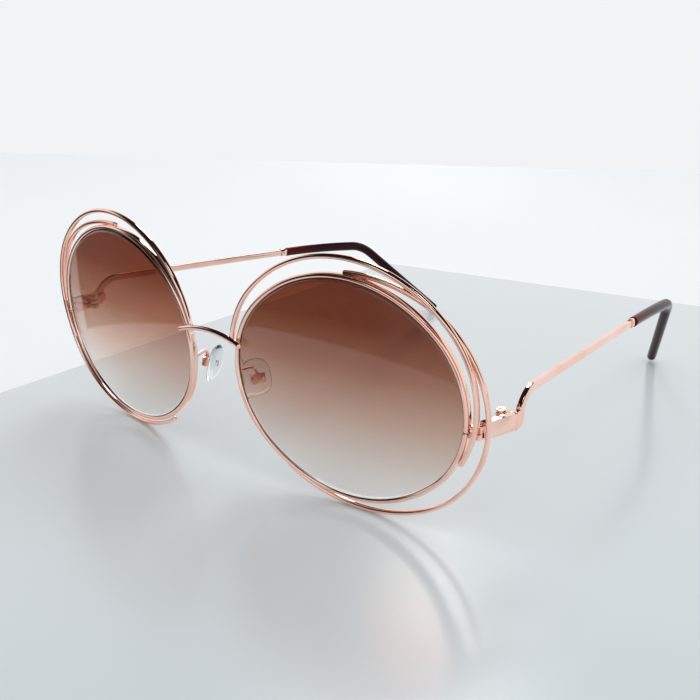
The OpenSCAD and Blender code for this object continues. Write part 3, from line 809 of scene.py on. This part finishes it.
def temple(side_name):
    """The temple: a rounded flat section that spans from its lower edge to its upper one,
    with both ends drawn in a little."""
    t = bpy.context.scene.sunglasses_temple
    edge_radius, end_step, end_share = 0.32 * MM, 0.08 * MM, 0.9
    head_share = 0.2
    shares = np.concatenate(
        [np.linspace(0, head_share, 110)[:-1], np.linspace(head_share, 1, 60)]
    )
    upper, lower = (evened(line, shares) for line in bar_outline()[:2])
    middle = in_space((upper + lower) / 2) - [0, 0, t.bar_thickness / 2]
    half = np.linalg.norm(upper - lower, axis=1)[:, None] / 2
    across = in_space((upper - lower) / (2 * half))
    turns = np.radians([0, 22.5, 45, 67.5, 90])
    corner = np.stack([np.cos(turns), np.sin(turns)], -1) * edge_radius
    parts = []
    for up, out in ((1, 1), (-1, 1), (-1, -1), (1, -1)):
        bend = (corner * [up, out])[:: up * out]
        x = up * (half - edge_radius) + bend[:, 0]
        y = out * (t.bar_thickness / 2 - edge_radius) + bend[:, 1]
        parts.append(np.stack([x, np.broadcast_to(y, x.shape)], -1))
    section = np.concatenate(parts, 1)
    rings = middle[:, None] + section[..., :1] * across[:, None]
    rings[..., 2] += section[..., 1]
    first, last = (middle[i] + (rings[i] - middle[i]) * end_share for i in (0, -1))
    rings[0, :, 0] += end_step
    rings = np.concatenate([first[None], rings, last[None]])
    vertices, faces = closed_grid(rings, first.mean(0), last.mean(0))
    vertices = placed(in_temple_plane(vertices, SIDES[side_name]))
    body, node = "temple_arm_" + side_name, "temple_" + side_name
    return finish(new_piece(node + "_bar", vertices, faces, body, node), "metal")


def at_bar_end(points):
    """Tip plane (back, up, out) to temple plane: rolled inwards, fallen with the bar."""
    t = bpy.context.scene.sunglasses_temple
    end = bar_outline()[2]
    out = turned(turned(points, t.tip_roll, 0), -t.fall, 2)
    return out + [end[0], end[1], -t.bar_thickness / 2]


def tip(side_name):
    """The plastic sleeve: an oval section that grows a little from the collar to the ear
    bend, carried along the tip's path and closed by flat domes."""
    t = bpy.context.scene.sunglasses_temple
    end_round, growth, grown_share = 0.8 * MM, 0.1, 0.35
    steps = [
        (t.tip_front / t.tip_front_bend, t.tip_front_bend),
        (t.ear_radius, t.ear_bend),
        (t.tip_drop - end_round, 0),
    ]
    path, across = (in_space(flat) for flat in track(steps, 0.6 * MM))
    over = np.broadcast_to([0, 0, 1.0], across.shape)
    share_along = np.linspace(0, 1, len(path))
    grow = 1 - growth + growth * np.clip(share_along / grown_share, 0, 1)
    section = stadium(t.tip_height, t.tip_thickness, 40)[None] * grow[:, None, None]
    points, faces = swept(path, across, over, section, domes=(0.25, 0.4))
    points = placed(in_temple_plane(at_bar_end(points), SIDES[side_name]))
    body, node = "temple_arm_" + side_name, "temple_tip_" + side_name
    return finish(new_piece(node + "_sleeve", points, faces, body, node), "tip")


# Middle of the left pad's screw and root of the left pad's arm, in the front frame
PAD_SCREW = np.array([8.91046, 2.35959, -4.56504]) * MM
ARM_ROOT = np.array([7.78373, -2.15948, -1.5]) * MM


def in_pad_plane(points, side):
    """Pad plane (along the screw, up, towards the nose) to front frame, at the screw."""
    p = bpy.context.scene.sunglasses_pads
    x, y, z = np.moveaxis(points, -1, 0)
    out = np.stack([-z, -x, y], -1)
    out = turned(turned(out, -p.flare, 1), -p.splay, 2) + PAD_SCREW
    out[..., 0] *= side
    return out


def nose_pad(side_name):
    """A soft pad: a squarish oval, a little narrower at its top, whose rings shrink as a
    power of the sine of an angle while the thickness follows a power of its cosine, on a
    layer that is domed towards the nose."""
    p = bpy.context.scene.sunglasses_pads
    narrowing, squareness, dome_radius = 0.06, 2.5, 21 * MM
    spread_power, crown_power = 0.45, 0.8
    around = np.arange(64) / 64 * 2 * math.pi
    c, s = np.cos(around), np.sin(around)
    outline = np.stack([p.width * c * (1 - narrowing * s), p.height * s], -1) / 2
    power = np.abs(c) ** squareness + np.abs(s) ** squareness
    outline *= power[:, None] ** (-1 / squareness)
    turns = np.radians(np.linspace(4, 176, 30))
    flat = (np.sin(turns) ** spread_power)[:, None, None] * outline
    cosine = np.cos(turns)
    thick = np.sign(cosine) * np.abs(cosine) ** crown_power * p.thickness / 2
    dome = (flat**2).sum(-1) / (2 * dome_radius)
    rise = p.off_screw + thick[:, None] - dome
    grid = np.concatenate([flat, rise[..., None]], -1)
    poles = [np.array([0, 0, p.off_screw + way * p.thickness / 2]) for way in (1, -1)]
    vertices, faces = closed_grid(grid, *poles)
    vertices = placed(in_pad_plane(vertices, SIDES[side_name]))
    body, node = "pad_" + side_name, "nose_pad_" + side_name
    pad = new_piece(node + "_silicone", vertices, faces, body, node)
    return finish(pad, "silicone")


def tongue(side_name):
    """The drilled tongue at a pad's back: a flat bar, rounded round the screw's axis, that
    runs on into the pad. Its outline is a half circle and two straight sides, and its faces
    are rounded in towards the outline like the end of a cushion."""
    p = bpy.context.scene.sunglasses_pads
    r, reach, waist = p.tongue_radius, p.tongue_reach, 0.4 * p.tongue_reach
    turns = np.linspace(math.pi, 2 * math.pi, 24)
    y = np.concatenate([r * np.cos(turns), [r, r, -r, -r]])
    z = np.concatenate([r * np.sin(turns), [waist, reach, reach, waist]])
    outline = np.stack([y, z], -1)
    middle = outline.mean(0)
    half = p.tongue_thickness / 2
    rounding = [(1.0, 0.86), (0.96, 0.93), (0.8, 1.0)]
    steps = [(-out, drawn_in) for out, drawn_in in rounding] + rounding[::-1]
    rings = np.stack([
        np.insert(middle + drawn_in * (outline - middle), 0, half * out, axis=1)
        for out, drawn_in in steps
    ])
    poles = [np.array([way * half, *middle]) for way in (-1, 1)]
    vertices, faces = closed_grid(rings, *poles)
    vertices = placed(in_pad_plane(vertices, SIDES[side_name]))
    name = "nose_pad_" + side_name + "_tongue"
    piece = new_piece(name, vertices, faces, "pad_" + side_name)
    return finish(piece, "silicone")


def pad_arm(side_name):
    """The curled wire that carries a pad: back from the rim, over a bend and down."""
    wire, back, bend_radius, down = 0.9 * MM, 2.8 * MM, 1.7 * MM, 0.81 * MM
    fall, turn_out = math.radians(74), math.radians(14)
    out, up = track([(back, 0), (bend_radius, fall), (down, 0)], 0.1 * MM)[0].T
    path = ARM_ROOT + np.stack([out * math.sin(turn_out), out * math.cos(turn_out), up], -1)
    path[:, 0] *= SIDES[side_name]
    points, faces = tube(path, wire / 2, dome=0.4)
    node = "pad_arm_" + side_name
    return finish(new_piece(node + "_wire", placed(points), faces, "front", node), "metal")


class SUNGLASSES_OT_wires(bpy.types.Operator):
    """Make the rims, the halo wires and the bridge"""

    bl_idname = "sunglasses.wires"
    bl_label = "Rims, halos and bridge"

    def execute(self, context):
        for side in SIDES:
            rim(side)
            for kind in HALOS:
                halo(side, kind)
        bridge()
        return {"FINISHED"}


class SUNGLASSES_OT_lenses(bpy.types.Operator):
    """Make the two tinted lenses"""

    bl_idname = "sunglasses.lenses"
    bl_label = "Lenses"

    def execute(self, context):
        for side in SIDES:
            lens(side)
        return {"FINISHED"}


class SUNGLASSES_OT_pads(bpy.types.Operator):
    """Make the nose pads, their arms and boxes"""

    bl_idname = "sunglasses.pads"
    bl_label = "Nose pads"

    def execute(self, context):
        for side in SIDES:
            nose_pad(side)
            tongue(side)
            pad_arm(side)
            softened("pad_box_" + side, 0.1 * MM)
        return {"FINISHED"}


# Width of the rounding on each kind of CAD node
EDGE_WIDTHS = {
    "endpiece_": 0.22 * MM,
    "closing_block_": 0.1 * MM,
    "hinge_front_": 0.08 * MM,
    "hinge_leaf_": 0.08 * MM,
    "collar_": 0.08 * MM,
}


class SUNGLASSES_OT_hinges(bpy.types.Operator):
    """Round the edges of the endpieces, hinges and collars, and finish the screws"""

    bl_idname = "sunglasses.hinges"
    bl_label = "Endpieces and hinges"

    def execute(self, context):
        for side in SIDES:
            for stem, width in EDGE_WIDTHS.items():
                softened(stem + side, width)
            for stem in ("hinge_screw_", "rim_screw_", "pad_screw_"):
                finish(frame["nodes"][stem + side], "screw")
        return {"FINISHED"}


class SUNGLASSES_OT_temples(bpy.types.Operator):
    """Make the temple bars and their plastic tips"""

    bl_idname = "sunglasses.temples"
    bl_label = "Temples"

    def execute(self, context):
        for side in SIDES:
            temple(side)
            tip(side)
        return {"FINISHED"}


def staged(name, vertices, faces, material):
    """A mesh that is part of the stage, not of the glasses."""
    mesh = bpy.data.meshes.new(name)
    mesh.from_pydata(vertices, [], faces)
    mesh.materials.append(material)
    thing = added(name, mesh)
    return thing


def board_shape():
    """The board: a prism that runs from its far corner along two edges, each set by a point
    on it, past the picture's frame."""
    corner = np.array([-0.1134, 0.1375])
    left, right = np.array([-0.0839, -0.0859]), np.array([0.0307, 0.1658])
    left_length, right_length, thickness = 0.9, 1.2, 3 * MM
    left_edge = left_length * unit(left - corner)
    right_edge = right_length * unit(right - corner)
    outline = corner + np.stack([0 * left_edge, left_edge, left_edge + right_edge, right_edge])
    vertices = [(x, y, z) for z in (-thickness, 0.0) for x, y in outline]
    faces = [(3, 2, 1, 0), (4, 5, 6, 7)]
    faces += [(i, (i + 1) % 4, 4 + (i + 1) % 4, 4 + i) for i in range(4)]
    return vertices, faces


def floor_shape():
    """A flat floor whose far edge turns up a little: a straight line and a short arc,
    carried along the edge."""
    ahead = np.array([-0.6295, 0.7770, 0])
    along = np.array([0.7770, 0.6295, 0])
    reach, bend_start, bend_radius, thickness = 3.0, 0.30, 0.2, 3 * MM
    turns = np.linspace(0, math.pi / 6, 12)
    out = np.concatenate([[-reach], bend_start + bend_radius * np.sin(turns)])
    up = np.concatenate([[0.0], bend_radius * (1 - np.cos(turns))]) - thickness
    line = out[:, None] * ahead + up[:, None] * [0, 0, 1]
    grid = line[:, None] + np.array([-reach, reach])[:, None] * along
    n = np.arange(len(line) - 1) * 2
    faces = np.stack([n, n + 1, n + 3, n + 2], -1)
    return grid.reshape(-1, 3).tolist(), faces.tolist()


# Painted reflection: the tones that mirrors see on the ground, pale, and dark where it stands in
# for a black card
PAINTED_PALE_REFLECTION = (0.8, 0.82, 0.83, 1)
PAINTED_DARK_REFLECTION = (0.015, 0.015, 0.015, 1)


def with_painted_reflection(shader, tone):
    """A ground's tone, with a painted reflection that only mirrors see: nearly white, and
    painted dark in front of the glasses in place of a black card: past an arc round the
    lenses and within 60 degrees of its middle."""
    arc_centre, arc_start, arc_end = (-0.01, -0.06, 0), 0.112, 0.118
    arc_middle, cosine_low, cosine_high = (-0.342, -0.940, 0), 0.49, 0.51
    away = shader.vector("SUBTRACT", shader.place(), arc_centre).outputs[0]
    far = shader.vector("LENGTH", away).outputs["Value"]
    past = shader.rising(far, arc_start, arc_end)
    way = shader.vector("NORMALIZE", away).outputs[0]
    across = shader.rising(shader.along(way, arc_middle), cosine_low, cosine_high)
    # Painted reflection: a pale ground and a dark patch in place of a black card, for mirrors
    # only
    painted_mirror_tone = shader.mixed(past * across, PAINTED_PALE_REFLECTION, PAINTED_DARK_REFLECTION)
    return shader.mixed(shader.mirrored(), tone, painted_mirror_tone)


def mottled(name, tone, darker, scale, **constants):
    """A shader for a ground whose tone drifts slowly, with a painted reflection for mirrors,
    and the noise that it drifts by.
    """
    ground = Shader(name, **constants)
    drift = ground.noise(scale, detail=2)
    deep = tuple(darker * v for v in tone)
    shade = ground.ramp(drift, (0.3, deep), (0.7, tuple(tone)))
    ground.give(Base_Color=with_painted_reflection(ground, shade))
    return ground, drift


class SUNGLASSES_OT_stage(bpy.types.Operator):
    """Lay the board on a white floor, and set the lamps and the camera"""

    bl_idname = "sunglasses.stage"
    bl_label = "Stage"

    def execute(self, context):
        c = context.scene.sunglasses_colours
        board, cloud = mottled("glossy_board", c.board, darker=0.97, scale=3, IOR=1.62)
        staged("board", *board_shape(), board.give(Roughness=cloud * 0.04 + 0.2))
        floor = mottled("white_floor", c.floor, darker=0.98, scale=2, Roughness=0.5)[0]
        sweep = staged("floor", *floor_shape(), floor.owner)
        sweep.data.polygons.foreach_set("use_smooth", [True] * len(sweep.data.polygons))
        self.sky()
        self.lamps()
        self.camera()
        return {"FINISHED"}

    def sky(self):
        """A pale sky, which mirrors see as white with a dark ceiling and two dark patches."""
        world = bpy.data.worlds.new("studio")
        bpy.context.scene.world = world
        studio = Shader(world)
        way = studio.node("ShaderNodeTexCoord").outputs["Generated"]

        def towards(azimuth, height, reach, soft):
            """1 inside a round patch of the sky at an azimuth from the front and a height,
            falling to 0 over a soft edge, all in degrees."""
            a, h = math.radians(azimuth), math.radians(height)
            middle = (math.sin(a) * math.cos(h), -math.cos(a) * math.cos(h), math.sin(h))
            low, high = math.cos(math.radians(reach + soft)), math.cos(math.radians(reach))
            return studio.rising(studio.along(way, middle), low, high)

        ceiling_low, ceiling_high = math.radians(31), math.radians(38)
        up = studio.along(way, (0, 0, 1))
        ceiling = studio.rising(up, math.sin(ceiling_low), math.sin(ceiling_high))
        beside = towards(azimuth=108, height=28, reach=20, soft=5)
        in_front = towards(azimuth=-38, height=18, reach=18, soft=6)
        dark = ceiling + beside + in_front
        tone = studio.ramp(dark, (0.0, (0.97, 0.97, 0.97)), (1.0, (0.015, 0.011, 0.01)))
        studio.give(Color=studio.mixed(studio.mirrored(), (0.88, 0.895, 0.915, 1), tone))

    def lamps(self):
        """Square soft lamps that face the glasses: name, place, watts, width and tone."""
        for name, place, power, width, tone in (
            ("window", (-0.40, 0.62, 0.95), 2.2, 0.35, (1.0, 0.99, 0.97)),
            ("glow", (-0.522, 0.804, 0.722), 0.4, 0.09, (1.0, 0.99, 0.97)),
            ("fill", (0.52, -0.30, 1.04), 0.9, 0.3, (0.97, 0.98, 1.0)),
        ):
            lamp = bpy.data.lights.new(name, "AREA")
            lamp.energy = power
            lamp.size = width
            lamp.color = tone
            away = unit(np.array(place))
            side = unit(np.cross([0, 0, 1.0], away))
            up = np.cross(away, side)
            added(name, lamp).matrix_world = posed([side, up, away], place)

    def camera(self):
        """The photograph's view: an eye and three axes found in the front's own frame."""
        right = np.array([0.771918, 0.634813, -0.033981])
        up = np.array([-0.211088, 0.306364, 0.928215])
        eye = np.array([0.15455, -0.137013, 0.081305])
        origin = placed(np.zeros(3))
        axes = [placed(v) - origin for v in (right, up, np.cross(right, up))]
        view = bpy.data.cameras.new("camera")
        view.lens = 47.76
        view.sensor_width = 36
        view.clip_start = 0.005
        view.clip_end = 20
        camera = added("camera", view)
        camera.matrix_world = posed(axes, placed(eye))
        bpy.context.scene.camera = camera


OPERATORS = (
    SUNGLASSES_OT_wires,
    SUNGLASSES_OT_lenses,
    SUNGLASSES_OT_pads,
    SUNGLASSES_OT_hinges,
    SUNGLASSES_OT_temples,
    SUNGLASSES_OT_stage,
)


class SUNGLASSES_PT_panel(bpy.types.Panel):
    """Lists the operators in the sidebar"""

    bl_label = "Sunglasses"
    bl_idname = "SUNGLASSES_PT_panel"
    bl_space_type = "VIEW_3D"
    bl_region_type = "UI"
    bl_category = "Sunglasses"

    def draw(self, context):
        for operator in OPERATORS:
            self.layout.operator(operator.bl_idname)


GROUPS = {
    "sunglasses_front": FrontSizes,
    "sunglasses_temple": TempleSizes,
    "sunglasses_pads": PadSizes,
    "sunglasses_stance": StanceSizes,
    "sunglasses_colours": FinishColours,
}


def register():
    """Registers every class, and hangs the groups on the scene."""
    for group in (*GROUPS.values(), *OPERATORS, SUNGLASSES_PT_panel):
        bpy.utils.register_class(group)
    for name, group in GROUPS.items():
        setattr(bpy.types.Scene, name, PointerProperty(type=group))


def unregister():
    """Takes back what register did."""
    for name in GROUPS:
        delattr(bpy.types.Scene, name)
    for group in reversed((*GROUPS.values(), *OPERATORS, SUNGLASSES_PT_panel)):
        bpy.utils.unregister_class(group)


def main():
    register()
    bpy.context.scene.view_settings.view_transform = "Standard"
    for operator in OPERATORS:
        group, name = operator.bl_idname.split(".")
        getattr(getattr(bpy.ops, group), name)()


if __name__ == "__main__":
    main()
